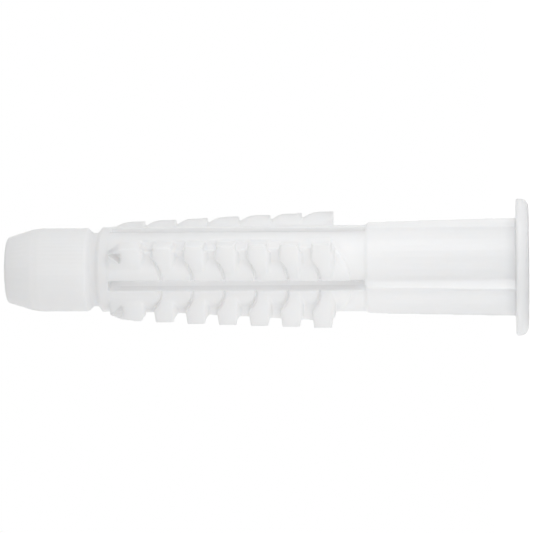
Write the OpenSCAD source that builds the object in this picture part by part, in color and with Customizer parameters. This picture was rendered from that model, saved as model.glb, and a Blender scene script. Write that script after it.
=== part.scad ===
// Universal wall plug, moulded in one piece.
// A flange and a ribbed barrel sit at the wall, four toothed legs spread behind them,
// and a tapered nose holds the legs together and finds the hole.
// It stands on the flange's outer face, with its nose up.
// The parts are drawn lying, with the nose towards -X and the flange's outer face at X = 0,
// and are then stood up together. The front half is the one at -Y, the back half the one at +Y.

/* [Length along the axis] */
// Length over all
plug_len = 50; // [48:1:60]
// Flange's outer face to the nose end of the barrel
barrel_end = 15.5; // [13:0.5:17]
// Nose, from its tip to the groove
nose_len = 7.8; // [6:0.2:9]
// Tapered part of the nose
nose_taper_len = 2.5; // [1.5:0.1:4]
// Width of the groove behind the nose
groove_w = 1.4; // [1.2:0.1:1.8]
// Collar between the groove and the slots
collar_len = 0.9; // [0.6:0.1:1.6]
// Plain legs between the last tooth and the barrel
plain_len = 3.2; // [2.6:0.1:5]

/* [Nose and legs] */
// Diameter of the nose, which is the drill size
nose_d = 8; // [7.6:0.1:8.2]
// Diameter at the nose tip
nose_tip_d = 6.35; // [5.5:0.05:7]
// Diameter at the bottom of the groove
groove_d = 7.05; // [6.5:0.05:7.5]
// Diameter of the round that carries the teeth
leg_d = 8.26; // [8.2:0.02:8.5]
// Width of the crossing slots that part the legs
slot_w = 1; // [0.6:0.1:1.3]

/* [Teeth] */
// Teeth along each leg
tooth_count = 7; // [5:1:9]
// Half-side of the square core under the front teeth, at their nose end
front_core = 2.95; // [2.8:0.05:3.3]
// Half-side of the square core under the back teeth, at their nose end
back_core = 3.15; // [3:0.05:3.4]
// Half-side of the square core at the flange end of the teeth
core_last = 3.85; // [3.5:0.05:3.9]
// Axis to face of the first front tooth
front_first = 3.82; // [3.7:0.02:4]
// Axis to face of the last front tooth
front_last = 4.36; // [4.2:0.02:4.6]
// Axis to face of the first back tooth
back_first = 3.56; // [3.5:0.02:3.9]
// Axis to face of the last back tooth
back_last = 4.2; // [4:0.02:4.6]
// How far a front tooth reaches further towards the flange at the slot than at its corner
tooth_lean = 1.85; // [1:0.05:2.2]

/* [Barrel and flange] */
// Diameter of the barrel at its nose end, between the ribs
barrel_nose_d = 8.6; // [8.5:0.05:8.8]
// Diameter of the barrel at the flange, between the ribs
barrel_flange_d = 8.9; // [8.7:0.05:9.4]
// Rib tip to the axis at the nose end of the barrel
rib_nose_r = 4.75; // [4.6:0.05:5]
// Rib tip to the axis at the flange
rib_flange_r = 5.13; // [4.95:0.05:5.4]
// Width of a rib at its foot
rib_w = 1.1; // [0.8:0.1:1.6]
// Diameter of the flange
flange_d = 13.1; // [12:0.1:15]
// Thickness of the flange
flange_t = 1.2; // [0.9:0.1:2]

/* [Screw hole] */
// Diameter in the barrel
bore_d = 5.6; // [5:0.1:6]
// Diameter between the legs and through the nose
leg_bore_d = 3.2; // [2.6:0.1:3.6]

/* [Hidden] */
$fn = 96;

// Stations along the axis
nose_x = -plug_len;
groove_x = nose_x + nose_len;
collar_x = groove_x + groove_w;
slot_x = collar_x + collar_len;
barrel_x = -barrel_end;
teeth_len = barrel_x - plain_len - slot_x;
pitch = teeth_len / tooth_count;

// Front teeth
tooth_gap = 0.4 * pitch;
tooth_draft = 0.12;
lean_z = 3.5;
lean_curve = 2.2;
lean_sides = 8;
line_w = 0.24;
line_share = (tooth_gap - line_w - tooth_draft) / (tooth_lean - tooth_draft);
meet_z = slot_w / 2 + (lean_z - slot_w / 2) * pow(1 - line_share, 1 / lean_curve);
crest_slope = 0.35;
skirt_first = leg_d / 2 + 0.02;
skirt_last = leg_d / 2 + 0.2;
starter_z = 3.12;
starter_ramp = 1.1;
starter_share = 0.7;
starter_crest = 0.4;
pocket_side = 1.15;
pocket_floor = 2.6;
pocket_top = 3.25;
pocket_rise = 0.1;

// Back teeth
ramp_steps = [0, 0.12, 0.25, 0.38, 0.5, 1];
ramp_height = 0.92;
crest_share = 0.5;

// Plain round under the teeth, and its rails, the strips that stay whole beside the upper and lower slots
rail_y = 1.75;
rail_z = sqrt(pow(leg_d / 2, 2) - pow(rail_y, 2)) - 0.1;
front_r = 3.92;
back_flat = 3.15;
flat_lead = 1.5;
flat_stop = 0.2;

// Edges and run-outs
tip_edge = 0.15;
nose_ease = 0.1;
nose_ease_len = 0.8;
groove_nose_side = 0.5;
groove_collar_side = 0.4;
collar_d = (nose_d + leg_d) / 2;
barrel_edge = 0.2;
rib_depth = 0.64;
rib_root = 2;
rib_root_w = 1.6 * rib_w;
rim_round = 0.8;
wall_edge = 0.15;
bore_lead = 0.4;
bore_step_x = barrel_x + 1;
bore_cone_len = 2.6;
far = 20;
over = 0.01;
sink = 0.1;

function mix(a, b, t) = a + (b - a) * t;
function drop_x(k) = slot_x + (k + 1) * pitch;
function tooth_share(k) = k / (tooth_count - 1);
function front_c(k) = mix(front_first, front_last, tooth_share(k));
function back_c(k) = mix(back_first, back_last, tooth_share(k));
function core_c(x) = mix(back_core, core_last, (x - slot_x) / teeth_len);

// Height of a back tooth over its core at a share t of the pitch: a convex ramp, then a nearly level crest
function ramp(t) =
    t < crest_share
        ? ramp_height * sin(90 * t / crest_share)
        : mix(ramp_height, 1, (t - crest_share) / (1 - crest_share));

// How far the flange side of a front tooth stands off its corner at a height z over the axis:
// square down to lean_z, then a curve that steepens towards the slot
function lean_x(z) =
    mix(tooth_draft, tooth_lean, 1 - pow((z - slot_w / 2) / (lean_z - slot_w / 2), lean_curve));

// Points of that curve from a height down to the slot, moved along the axis by x
function lean_points(x, from_z) = concat(
    [for (i = [0 : lean_sides])
        let (z = mix(from_z, slot_w / 2, i / lean_sides))
        [x + lean_x(z), z]],
    [[x + tooth_lean, -sink]]
);

function back_to_front(points) = [for (i = [len(points) - 1 : -1 : 0]) points[i]];

// Outline in X and Z, drawn out along Y from y0 to y1
module plan_solid(y0, y1) {
    translate([0, y1, 0])
        rotate([90, 0, 0])
            linear_extrude(y1 - y0)
                children();
}

// Outline in Y and Z, drawn out along X from x0 to x1
module section_solid(x0, x1) {
    translate([x0, 0, 0])
        rotate([90, 0, 90])
            linear_extrude(x1 - x0)
                children();
}

// Nose with its taper, the groove behind it and the collar
module nose() {
    rotate([0, 90, 0])
        rotate_extrude()
            polygon([
                [0, nose_x],
                [nose_tip_d / 2 - tip_edge, nose_x],
                [nose_tip_d / 2, nose_x + tip_edge],
                [nose_d / 2 - nose_ease, nose_x + nose_taper_len],
                [nose_d / 2, nose_x + nose_taper_len + nose_ease_len],
                [nose_d / 2, groove_x],
                [groove_d / 2, groove_x + groove_nose_side],
                [groove_d / 2, collar_x - groove_collar_side],
                [collar_d / 2, collar_x],
                [collar_d / 2, slot_x + sink],
                [0, slot_x + sink],
            ]);
}

// Cut that takes the back of the legs' round down to a flat, from the collar to the last tooth
module back_cut() {
    lead_x = slot_x + sink;
    end_x = slot_x + teeth_len - flat_stop;
    linear_extrude(far, center = true)
        polygon([
            [lead_x, leg_d / 2 + sink / 4],
            [lead_x + flat_lead, back_flat],
            [end_x, back_flat],
            [end_x, far],
            [lead_x, far],
        ]);
}

// Cut that takes the front of the legs' round down to a smaller round, from the first tooth to the last
module front_cut() {
    lead_x = drop_x(0);
    end_x = slot_x + teeth_len + flat_stop;
    rotate([0, 90, 0])
        translate([0, 0, lead_x])
            difference() {
                translate([-far, -far, 0]) cube([2 * far, far - rail_y, end_x - lead_x]);
                translate([0, 0, -over]) cylinder(h = end_x - lead_x + 2 * over, r = front_r);
            }
}

// Plain round of the legs
module leg_round() {
    difference() {
        rotate([0, 90, 0])
            translate([0, 0, slot_x])
                cylinder(h = barrel_x - slot_x + 1, d = leg_d);
        back_cut();
        front_cut();
    }
}

// Front half of the square core under the teeth, which widens towards the flange
module half_core(first) {
    core_end = slot_x + teeth_len;
    outline = [
        [slot_x, -first],
        [core_end, -core_last],
        [core_end, core_last],
        [slot_x, first],
    ];
    intersection() {
        plan_solid(-far, sink) polygon(outline);
        linear_extrude(2 * far, center = true) polygon(outline);
    }
}

module leg_core() {
    half_core(front_core);
    mirror([0, 1, 0]) half_core(back_core);
}

// Nose side of the first front tooth, which rises from the collar as a ramp
function starter_side(end_x, c) = [
    [slot_x, -sink],
    [slot_x, starter_z],
    [slot_x + starter_ramp, mix(starter_z, c, starter_share)],
    [end_x - starter_crest, c],
];

// Nose side of every other front tooth: it follows the tooth before it, then turns square to the corner
function block_side(end_x, c) = concat(
    back_to_front(lean_points(end_x - pitch + line_w, meet_z)),
    [[end_x - pitch + tooth_gap, front_core], [end_x - pitch + tooth_gap + tooth_draft, c]]
);

// One tooth of the upper front leg: a flat block at the corner and a round skirt beside the slot
module front_tooth(k) {
    c = front_c(k);
    end_x = drop_x(k);
    nose_side = k == 0 ? starter_side(end_x, c) : block_side(end_x, c);
    side_z = rail_z - sink * tooth_share(k);
    intersection() {
        plan_solid(-far, -rail_y + sink * tooth_share(k))
            polygon(concat(nose_side, [[end_x, c]], lean_points(end_x, lean_z)));
        union() {
            linear_extrude(2 * far, center = true)
                polygon([
                    [slot_x - over, 0],
                    [slot_x - over, -c],
                    [end_x, -c],
                    [end_x + crest_slope, crest_slope - c],
                    [end_x + crest_slope, 0],
                ]);
            translate([slot_x - over, 0, 0])
                rotate([0, 90, 0])
                    cylinder(h = teeth_len + pitch, r = mix(skirt_first, skirt_last, tooth_share(k)));
        }
        section_solid(slot_x - 2 * over, end_x + pitch)
            polygon([
                [0, -sink],
                [0, side_z],
                [-rail_y, side_z],
                [-c, c],
                [-far, c],
                [-far, -sink],
            ]);
    }
}

// Pocket in front of the first front tooth, cut into the collar's end
module first_pocket() {
    pocket_x = drop_x(0) - pitch + tooth_gap;
    for (side = [0, 1])
        mirror([0, 0, side])
            plan_solid(-far, -pocket_floor)
                polygon([
                    [pocket_x - pocket_side, pocket_top - pocket_rise],
                    [pocket_x, pocket_top],
                    [pocket_x, pocket_top - pocket_side],
                ]);
}

// Block teeth of both front legs, mirrored about the front slot
module front_teeth() {
    for (side = [0, 1])
        mirror([0, 0, side])
            for (k = [0 : tooth_count - 1])
                front_tooth(k);
}

// Saw teeth of both back legs, each a ramp that ends in a square drop
module back_tooth(k) {
    c = back_c(k);
    start_x = drop_x(k) - pitch - sink;
    root = core_c(start_x) - sink;
    edge = [for (t = ramp_steps) [mix(start_x, drop_x(k), t), mix(root, c, ramp(t))]];
    far_edge = [for (p = back_to_front(edge)) [p[0], -p[1]]];
    intersection() {
        plan_solid(rail_y, far) polygon(concat(edge, far_edge));
        linear_extrude(2 * far, center = true)
            polygon(concat([[start_x, 0]], edge, [[drop_x(k), 0]]));
        section_solid(start_x - over, drop_x(k) + over)
            polygon([
                [0, -rail_z],
                [rail_y, -rail_z],
                [c, -c],
                [c, c],
                [rail_y, rail_z],
                [0, rail_z],
            ]);
    }
}

module back_teeth() {
    for (k = [0 : tooth_count - 1])
        back_tooth(k);
}

// Barrel with its slight taper and an eased nose end
module barrel() {
    rotate([0, 90, 0])
        rotate_extrude()
            polygon([
                [0, barrel_x],
                [barrel_nose_d / 2 - barrel_edge, barrel_x],
                [barrel_nose_d / 2, barrel_x + barrel_edge],
                [barrel_flange_d / 2, -flange_t / 2],
                [0, -flange_t / 2],
            ]);
}

// Four ribs that keep the barrel from turning, one in line with each slot
module barrel_ribs() {
    rib_len = barrel_end - flange_t / 2;
    rise = atan((rib_flange_r - rib_nose_r) / rib_len);
    foot = rib_w / 2;
    for (turn = [0 : 90 : 270])
        rotate([turn, 0, 0])
            intersection() {
                translate([barrel_x, 0, rib_nose_r])
                    rotate([0, -rise, 0])
                        section_solid(-1, rib_len + 1)
                            polygon([
                                [0, 0],
                                [foot, -rib_depth],
                                [rib_root_w / 2, -rib_root],
                                [-rib_root_w / 2, -rib_root],
                                [-foot, -rib_depth],
                            ]);
                plan_solid(-far, far)
                    polygon([
                        [barrel_x, 0],
                        [barrel_x, rib_nose_r - 2 * barrel_edge],
                        [barrel_x + 2 * barrel_edge, rib_nose_r + barrel_edge],
                        [-flange_t / 2, far],
                        [-flange_t / 2, 0],
                    ]);
            }
}

// Flange with a rounded outer rim
module flange() {
    rim_r = flange_d / 2;
    rotate([0, 90, 0])
        rotate_extrude()
            union() {
                polygon([
                    [0, -flange_t],
                    [rim_r - wall_edge, -flange_t],
                    [rim_r, wall_edge - flange_t],
                    [rim_r, -rim_round],
                    [rim_r - rim_round, -rim_round],
                    [rim_r - rim_round, 0],
                    [0, 0],
                ]);
                intersection() {
                    translate([rim_r - rim_round, -rim_round]) circle(rim_round);
                    translate([rim_r - rim_round, -rim_round]) square(2 * rim_round);
                }
            }
}

// Two crossing slots that part the legs
module slots() {
    slot_len = barrel_x - slot_x;
    for (turn = [0, 90])
        rotate([turn, 0, 0])
            translate([slot_x, -far / 2, -slot_w / 2])
                cube([slot_len, far, slot_w]);
}

// Screw hole: wide in the barrel, a cone, then narrow to the nose tip
module screw_hole() {
    rotate([0, 90, 0])
        rotate_extrude()
            polygon([
                [0, nose_x - over],
                [leg_bore_d / 2, nose_x - over],
                [leg_bore_d / 2, bore_step_x - bore_cone_len],
                [bore_d / 2, bore_step_x],
                [bore_d / 2, -bore_lead],
                [bore_d / 2 + bore_lead, 0],
                [bore_d / 2 + bore_lead, over],
                [0, over],
            ]);
}

module plug() {
    color("white")
        rotate([0, 90, 0])
            difference() {
                union() {
                    nose();
                    leg_round();
                    leg_core();
                    front_teeth();
                    back_teeth();
                    barrel();
                    barrel_ribs();
                    flange();
                }
                first_pocket();
                slots();
                screw_hole();
            }
}

plug();
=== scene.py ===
# %% [markdown]
# # A universal wall plug
#
# A wall plug is one small piece of moulded plastic. A flange stops it at the wall, a ribbed barrel
# guides the screw, and four toothed legs spread behind it when the screw goes in.
# This notebook takes the plug's exact solid and gives it the looks of the real moulding: soft edges,
# slightly milky white plastic and even light. Lengths are in metres, as Blender has them, and small
# ones are written in millimetres and multiplied by MM.

# %% Load the solid
import math

import bmesh
import bpy
from mathutils import Matrix, Vector


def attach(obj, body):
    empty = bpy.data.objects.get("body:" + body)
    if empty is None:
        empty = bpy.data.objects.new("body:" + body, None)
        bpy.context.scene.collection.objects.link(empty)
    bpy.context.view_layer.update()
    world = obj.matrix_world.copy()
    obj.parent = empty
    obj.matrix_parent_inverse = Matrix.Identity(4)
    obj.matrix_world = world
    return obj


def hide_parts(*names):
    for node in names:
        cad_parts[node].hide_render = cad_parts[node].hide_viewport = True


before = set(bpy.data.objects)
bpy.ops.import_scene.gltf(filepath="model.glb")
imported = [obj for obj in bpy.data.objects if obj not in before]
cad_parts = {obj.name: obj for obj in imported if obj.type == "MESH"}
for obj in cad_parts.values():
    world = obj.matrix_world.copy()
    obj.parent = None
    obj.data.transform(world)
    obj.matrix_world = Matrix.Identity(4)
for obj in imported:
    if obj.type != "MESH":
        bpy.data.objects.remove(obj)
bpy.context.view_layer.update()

MM = 0.001

# %% [markdown]
# ## The camera
#
# The photograph looks at the plug from one side, with the nose at the left and the flange at the right.
# The solid stands on its flange, so the camera is turned on its side: the plug's axis then runs across
# the picture. A Track To constraint could aim it, but it keeps the picture upright, and this picture is
# turned by two degrees more. So the camera's own three axes are worked out and written down.
# A very long lens would flatten the view completely. Here the camera stands level with the flange end,
# which is a little nearer than the nose, and that is kept.

# %% Camera
VIEW_ROLL_ABOUT_AXIS = math.radians(23.3)     # how far the camera stands above the front slot
VIEW_DISTANCE = 315 * MM                      # from the camera to the plug's axis
VIEW_HEIGHT = 4 * MM                          # the camera's place along the axis, from the flange
AIM_HEIGHT = 25.05 * MM                       # the middle of the picture, along the axis
AIM_RISE = 0.20 * MM                          # the middle of the picture, above the axis
PICTURE_TURN = math.radians(-2.0)
PIXELS_PER_MM = 10.45
PICTURE_WIDTH = 533
SENSOR_WIDTH = 36                             # in millimetres, as the lens is
NEAREST_SEEN = 10 * MM

side_up = Vector((1, 0, 0))                   # the side of the plug that is uppermost in the picture
across_view = Vector((math.sin(VIEW_ROLL_ABOUT_AXIS), -math.cos(VIEW_ROLL_ABOUT_AXIS), 0))
picture_up = Vector((math.cos(VIEW_ROLL_ABOUT_AXIS), math.sin(VIEW_ROLL_ABOUT_AXIS), 0))

camera_place = across_view * VIEW_DISTANCE + Vector((0, 0, VIEW_HEIGHT))
aim = picture_up * AIM_RISE + Vector((0, 0, AIM_HEIGHT))

camera_data = bpy.data.cameras.new("camera")
camera_data.sensor_width = SENSOR_WIDTH
camera_data.lens = SENSOR_WIDTH * PIXELS_PER_MM * VIEW_DISTANCE / MM / PICTURE_WIDTH
camera_data.clip_start = NEAREST_SEEN
camera = bpy.data.objects.new("camera", camera_data)
bpy.context.collection.objects.link(camera)

back = (camera_place - aim).normalized()
right = side_up.cross(back).normalized()
up = back.cross(right)
axes = Matrix((right, up, back)).transposed().to_4x4()
camera.matrix_world = Matrix.Translation(camera_place) @ axes @ Matrix.Rotation(PICTURE_TURN, 4, "Z")
bpy.context.scene.camera = camera
print("lens in millimetres:", round(camera_data.lens, 1))

# %% [markdown]
# ## Writing shaders as sums
#
# A material is a graph of nodes. Wiring each node by hand hides what the graph works out, so one small
# class wraps a node's output and lets Python's own signs add the nodes: a * 0.5 + b reads as it works.

# %% Shader maths
class Value:
    """One output of a node, which sums and products can be made from."""

    def __init__(self, tree, socket):
        self.tree = tree
        self.socket = socket

    def node(self, kind, settings=None, output=0, **inputs):
        """Adds a node, sets it up, feeds its sockets and gives back one of its outputs.

        A socket is given by its name, with _ for each space, or as i and its number.
        """
        made = self.tree.nodes.new(kind)
        for name, value in (settings or {}).items():
            setattr(made, name, value)
        for name, value in inputs.items():
            socket = made.inputs[int(name[1:]) if name[1:].isdigit() else name.replace("_", " ")]
            if isinstance(value, Value):
                self.tree.links.new(value.socket, socket)
            else:
                socket.default_value = value
        return Value(self.tree, made.outputs[output])

    def math(self, operation, first, second):
        return self.node("ShaderNodeMath", {"operation": operation}, i0=first, i1=second)

    def __add__(self, other):
        return self.math("ADD", self, other)

    __radd__ = __add__

    def __mul__(self, other):
        return self.math("MULTIPLY", self, other)

    __rmul__ = __mul__

    def __rsub__(self, other):
        return self.math("SUBTRACT", other, self)


def new_material(name):
    """An empty material: its tree, its output node and its object coordinates."""
    material = bpy.data.materials.new(name)
    material.use_nodes = True
    tree = material.node_tree
    tree.nodes.clear()
    output = tree.nodes.new("ShaderNodeOutputMaterial")
    place = Value(tree, tree.nodes.new("ShaderNodeTexCoord").outputs["Object"])
    return material, tree, output, place


# %% [markdown]
# ## Floor and background
#
# The plug is shown on plain white. A floor bright enough to be white would throw too much light up at
# the plug, and a floor left out would take the plug's shadow with it. So the floor is a wide pale sheet
# that really receives light, and to the camera alone it also glows a little, which takes it from pale
# grey to white. Rays that reach the camera by way of gloss or glass count as the camera's, so a
# reflection shows the same white.

# %% Floor
FLOOR_SIZE = 3.0
FLOOR_COLOUR = (0.92, 0.92, 0.92, 1)
FLOOR_GLOW = 0.5


def seen_rays(tree):
    """1 for what the camera sees, straight or in gloss or glass, and 0 for what lights the plug."""
    ray = tree.nodes.new("ShaderNodeLightPath")
    seen = Value(tree, ray.outputs["Is Camera Ray"])
    mirrored = Value(tree, ray.outputs["Is Glossy Ray"])
    through = Value(tree, ray.outputs["Is Transmission Ray"])
    every_way = seen + mirrored + through
    return every_way.math("MINIMUM", every_way, 1)


def floor_material():
    """Matt pale sheet, which looks white to the camera outside the shadow."""
    material, tree, output, place = new_material("pale_sheet")
    matt = place.node("ShaderNodeBsdfDiffuse", Color=FLOOR_COLOUR)
    light = place.node("ShaderNodeEmission", Strength=seen_rays(tree) * FLOOR_GLOW)
    both = place.node("ShaderNodeAddShader", i0=matt, i1=light)
    tree.links.new(both.socket, output.inputs["Surface"])
    return material


def make_floor():
    """A wide flat sheet, which the plug stands on."""
    sheet = bmesh.new()
    bmesh.ops.create_grid(sheet, x_segments=2, y_segments=2, size=FLOOR_SIZE / 2)
    mesh = bpy.data.meshes.new("floor")
    sheet.to_mesh(mesh)
    sheet.free()
    mesh.materials.append(floor_material())
    floor = bpy.data.objects.new("floor", mesh)
    bpy.context.collection.objects.link(floor)
    return floor


floor = make_floor()
print("floor size in metres:", round(floor.dimensions.x, 2))

# %% [markdown]
# ## Light
#
# The photograph has hardly any shadow: the plug sits in a bright tent, and its forms show only by small
# steps of grey. A pale sky, paler at the sides than overhead, does most of that. Two small soft lamps
# stand beside the plug, one to either side of the view and low over the floor, so the flange end is the
# brightest and what faces the nose is a shade darker. A third, behind the camera, evens out what faces
# the view. One lamp would be simpler, but it leaves one side grey.
# Light in a white slot goes from wall to wall many times before it comes out. Four bounces, the usual
# number, leave the slots too dark, so the render is allowed twelve.

# %% Light
SKY_LOW = 0.87
SKY_HIGH = 0.42
LIGHT_BOUNCES = 12
LAMP_AIM = Vector((0, 0, 18 * MM))
UPPER_LAMP = dict(out=35 * MM, aside=45 * MM, rise=8 * MM, width=40 * MM, tall=14 * MM, power=0.0073)
LOWER_LAMP = dict(out=12 * MM, aside=-55 * MM, rise=8 * MM, width=40 * MM, tall=14 * MM, power=0.0061)
FRONT_LAMP = dict(out=400 * MM, aside=0, rise=20 * MM, width=100 * MM, tall=38 * MM, power=0.156)


def make_sky():
    """Pale light from all round, less of it from overhead. The camera sees plain white."""
    world = bpy.data.worlds.new("sky")
    bpy.context.scene.world = world
    world.use_nodes = True
    tree = world.node_tree
    tree.nodes.clear()
    output = tree.nodes.new("ShaderNodeOutputWorld")
    direction = Value(tree, tree.nodes.new("ShaderNodeTexCoord").outputs["Generated"])
    height = direction.node("ShaderNodeSeparateXYZ", output=2, Vector=direction)
    level = height * (SKY_HIGH - SKY_LOW) + SKY_LOW
    strength = level + seen_rays(tree) * (1 - level)
    sky = direction.node("ShaderNodeBackground", Color=(1, 1, 1, 1), Strength=strength)
    tree.links.new(sky.socket, output.inputs["Surface"])


def make_lamp(name, out, aside, rise, width, tall, power):
    """A wide soft lamp over the floor, placed out towards the camera and aside in the picture."""
    data = bpy.data.lights.new(name, "AREA")
    data.shape = "RECTANGLE"
    data.size = width
    data.size_y = tall
    data.energy = power
    lamp = bpy.data.objects.new(name, data)
    bpy.context.collection.objects.link(lamp)
    lamp.location = across_view * out + picture_up * aside + Vector((0, 0, rise))
    lamp.rotation_mode = "QUATERNION"
    lamp.rotation_quaternion = (lamp.location - LAMP_AIM).to_track_quat("Z", "Y")
    return lamp


make_sky()
lamps = [
    make_lamp("upper_lamp", **UPPER_LAMP),
    make_lamp("lower_lamp", **LOWER_LAMP),
    make_lamp("front_lamp", **FRONT_LAMP),
]
bpy.context.scene.cycles.diffuse_bounces = LIGHT_BOUNCES
bpy.context.scene.view_settings.view_transform = "Standard"
for lamp in lamps:
    print(lamp.name, "at", tuple(round(place, 3) for place in lamp.location))

# %% [markdown]
# ## Where light is scarce
#
# A real plug's thin legs let light through, so its slots are a soft grey and never black. A short render
# finds too little of that light. So tight places get a faint painted glow, emission that stands in for
# that light, and these helpers say where. They measure the place on the plug itself, so the painted glow
# is the same from every side.

# %% Tight places
SLOT_EDGE = 0.55 * MM                         # just past half the width of a slot
BORE_RADIUS = 2.85 * MM                       # just past the radius of the screw hole
BORE_FOOT = 11 * MM                           # where the glow starts in the hole
BORE_TOP = 40 * MM                            # where the nose starts
EDGE_FADE = 0.1 * MM


def ramp_between(value, zero_at, one_at):
    """0 at one value, 1 at the other and straight between them."""
    return value.node("ShaderNodeMapRange", Value=value, From_Min=zero_at, From_Max=one_at)


def inside_slots(place):
    """1 on the walls of the two crossing slots, and 0 away from them."""
    off_axis = place.node("ShaderNodeVectorMath", {"operation": "ABSOLUTE"}, i0=place)
    x, y = [off_axis.node("ShaderNodeSeparateXYZ", output=axis, Vector=off_axis) for axis in range(2)]
    return ramp_between(x.math("MINIMUM", x, y), SLOT_EDGE + EDGE_FADE, SLOT_EDGE)


def inside_bore(place):
    """1 on the wall of the screw hole between the legs, and 0 in the barrel, the nose and outside."""
    x, y, z = [place.node("ShaderNodeSeparateXYZ", output=axis, Vector=place) for axis in range(3)]
    across = place.node("ShaderNodeCombineXYZ", X=x, Y=y)
    radius = place.node("ShaderNodeVectorMath", {"operation": "LENGTH"}, output=1, i0=across)
    wall = ramp_between(radius, BORE_RADIUS + EDGE_FADE, BORE_RADIUS)
    foot = ramp_between(z, BORE_FOOT, BORE_FOOT + MM)
    return wall * foot * ramp_between(z, BORE_TOP, BORE_TOP - MM)


print("the glow in the hole runs over", round((BORE_TOP - BORE_FOOT) / MM), "millimetres")

# %% [markdown]
# ## White moulded plastic
#
# Plugs are moulded in polyamide, a white plastic that is never quite opaque: light goes a little way in
# and comes out nearby, so it is a Principled shader with all its colour under the skin. The surface is
# satin. The mould was spark-eroded, so it has a very fine grain and faint clouds of gloss, from two
# noises at their own scales.
# The Ambient Occlusion node measures how open each place is, and its shade is painted into the colour:
# corners, notches and creases are painted a shade darker, where shade falls. The slots, which cut right
# through, have all of the faint painted glow for tight places, and the notches and pockets half.

# %% Plastic
PLASTIC_COLOUR = (0.955, 0.955, 0.957, 1)
PLASTIC_SHADE = (0.93, 0.932, 0.937, 1)
PLASTIC_IOR = 1.53
MILKY_DEPTH = 3 * MM
MILKY_REACH = (1.0, 0.95, 0.9)                # red, green and blue light, as shares of that depth
CLOUD_PER_M = 260
GRAIN_PER_M = 9000
GRAIN_DEPTH = 0.02 * MM
GRAIN_STRENGTH = 0.05
ROUGHNESS = 0.34
CLOUD_ROUGHNESS = 0.12
GRAIN_ROUGHNESS = 0.04

CORNER_REACH = 1.3 * MM                       # how far away a wall still closes a place in
CORNER_SAMPLES = 8
# painted shade: how far the colour of a closed-in corner is darkened against the flats
PAINTED_CORNER_SHADE = 0.87                           # how bright a corner is against the flats
CORNER_BEGINS, CORNER_ENDS = 0.98, 0.6        # openness, where 1 is a flat
# painted light: the strength of the emission glow in tight places, which stands in for light through the
# plastic
PAINTED_GLOW = 0.1
DEEP_BEGINS, DEEP_ENDS = 0.65, 0.4
NOTCH_SHARE = 0.5                             # how much of that glow notches and pockets have


def painted_shade_and_glow(place):
    """How far painted shade darkens the colour at a place, and how much painted glow it has."""
    openness = place.node(
        "ShaderNodeAmbientOcclusion",
        {"samples": CORNER_SAMPLES, "only_local": True},
        output=1,
        Distance=CORNER_REACH,
    )
    # painted shade: the colour is darkened where the Ambient Occlusion node finds the place closed in
    painted_shade = 1 - (1 - PAINTED_CORNER_SHADE) * ramp_between(openness, CORNER_BEGINS, CORNER_ENDS)
    # painted glow: all of it in the slots, half in notches and pockets, and all of it in the screw hole
    deep = ramp_between(openness, DEEP_BEGINS, DEEP_ENDS)
    deep = deep * (NOTCH_SHARE + (1 - NOTCH_SHARE) * inside_slots(place))
    return painted_shade, deep.math("MAXIMUM", deep, inside_bore(place)) * PAINTED_GLOW


def plastic_material():
    """Satin white, slightly milky plastic, with painted shade in closed-in places and a painted glow in
    tight ones.
    """
    material, tree, output, place = new_material("white_polyamide")
    clouds = place.node("ShaderNodeTexNoise", Vector=place, Scale=CLOUD_PER_M, Detail=3.0, Roughness=0.5)
    grain = place.node("ShaderNodeTexNoise", Vector=place, Scale=GRAIN_PER_M, Detail=2.0, Roughness=0.5)
    painted_shade, glow = painted_shade_and_glow(place)
    colour = place.node(
        "ShaderNodeMix", {"data_type": "RGBA"}, output=2, i0=clouds, i6=PLASTIC_SHADE, i7=PLASTIC_COLOUR
    )
    # the colour is scaled by the painted corner shade
    colour = colour.node("ShaderNodeVectorMath", {"operation": "SCALE"}, i0=colour, Scale=painted_shade)
    features = {
        "Base Color": colour,
        # the emission here is the painted glow of tight places
        "Emission Color": glow.node("ShaderNodeCombineXYZ", X=glow, Y=glow, Z=glow),
        "Roughness": ROUGHNESS + clouds * CLOUD_ROUGHNESS + grain * GRAIN_ROUGHNESS,
        "Normal": grain.node(
            "ShaderNodeBump", Strength=GRAIN_STRENGTH, Distance=GRAIN_DEPTH, Height=grain
        ),
    }
    shader = tree.nodes.new("ShaderNodeBsdfPrincipled")
    shader.inputs["IOR"].default_value = PLASTIC_IOR
    shader.inputs["Subsurface Weight"].default_value = 1.0
    shader.inputs["Subsurface Radius"].default_value = MILKY_REACH
    shader.inputs["Subsurface Scale"].default_value = MILKY_DEPTH
    shader.inputs["Emission Strength"].default_value = 1.0
    for name, value in features.items():
        tree.links.new(value.socket, shader.inputs[name])
    tree.links.new(shader.outputs["BSDF"], output.inputs["Surface"])
    return material


plastic = plastic_material()
print("plastic:", plastic.name, "with", len(plastic.node_tree.nodes), "nodes")

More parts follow.
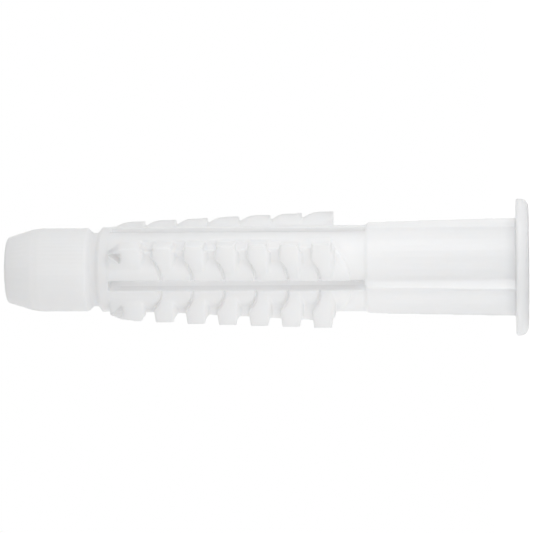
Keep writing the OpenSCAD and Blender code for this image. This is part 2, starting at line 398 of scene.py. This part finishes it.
# %% [markdown]
# ## The plug with its moulded edges
#
# The solid has knife-sharp edges, which no moulding has. A Bevel modifier would need clean edge loops,
# and the crossing teeth, slots and ribs have none. So the solid is copied and closed, rebuilt from
# cubes less than a tenth of a millimetre wide, and smoothed. That rounds outer edges and fills inner
# corners by the same small radius, as a mould does, and leaves the flats alone. The mesh is then
# thinned, which takes most from the flats. All of this is done on a copy a thousand times as large,
# because the Remesh modifier is meant for cubes of a tenth of a millimetre and more.

# %% Plug
VOXEL = 0.08 * MM
WELD_DISTANCE = 0.0005 * MM
WORK_SCALE = 1000
SMOOTH_SHARE = 0.5
SMOOTH_ROUNDS = 6
MOST_TRIANGLES = 190000


def carry_out(piece):
    """Makes a piece's modifiers part of its mesh."""
    graph = bpy.context.evaluated_depsgraph_get()
    piece.data = bpy.data.meshes.new_from_object(piece.evaluated_get(graph))
    piece.modifiers.clear()


def moulded_copy(source, name):
    """A copy of a solid with soft edges."""
    body = bmesh.new()
    body.from_mesh(source.data)
    bmesh.ops.remove_doubles(body, verts=body.verts, dist=WELD_DISTANCE)
    bmesh.ops.scale(body, vec=(WORK_SCALE,) * 3, verts=body.verts)
    mesh = bpy.data.meshes.new(name)
    body.to_mesh(mesh)
    body.free()
    piece = bpy.data.objects.new(name, mesh)
    bpy.context.collection.objects.link(piece)

    cubes = piece.modifiers.new("cubes", "REMESH")
    cubes.mode = "VOXEL"
    cubes.voxel_size = VOXEL * WORK_SCALE
    soften = piece.modifiers.new("soften", "SMOOTH")
    soften.factor = SMOOTH_SHARE
    soften.iterations = SMOOTH_ROUNDS
    carry_out(piece)

    triangles = 2 * len(piece.data.polygons)      # each face of the cubes is two of them
    print("triangles before thinning:", triangles)
    thin = piece.modifiers.new("thin", "DECIMATE")
    thin.ratio = min(1, MOST_TRIANGLES / triangles)
    carry_out(piece)

    body = bmesh.new()
    body.from_mesh(piece.data)
    bmesh.ops.scale(body, vec=(1 / WORK_SCALE,) * 3, verts=body.verts)
    for face in body.faces:
        face.smooth = True
    body.to_mesh(piece.data)
    body.free()
    piece.data.name = name
    return piece


plug = moulded_copy(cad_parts["plug"], "moulded_plug")
plug.data.materials.clear()
plug.data.materials.append(plastic)
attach(plug, "root")
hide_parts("plug")
print("faces on the plug:", len(plug.data.polygons))
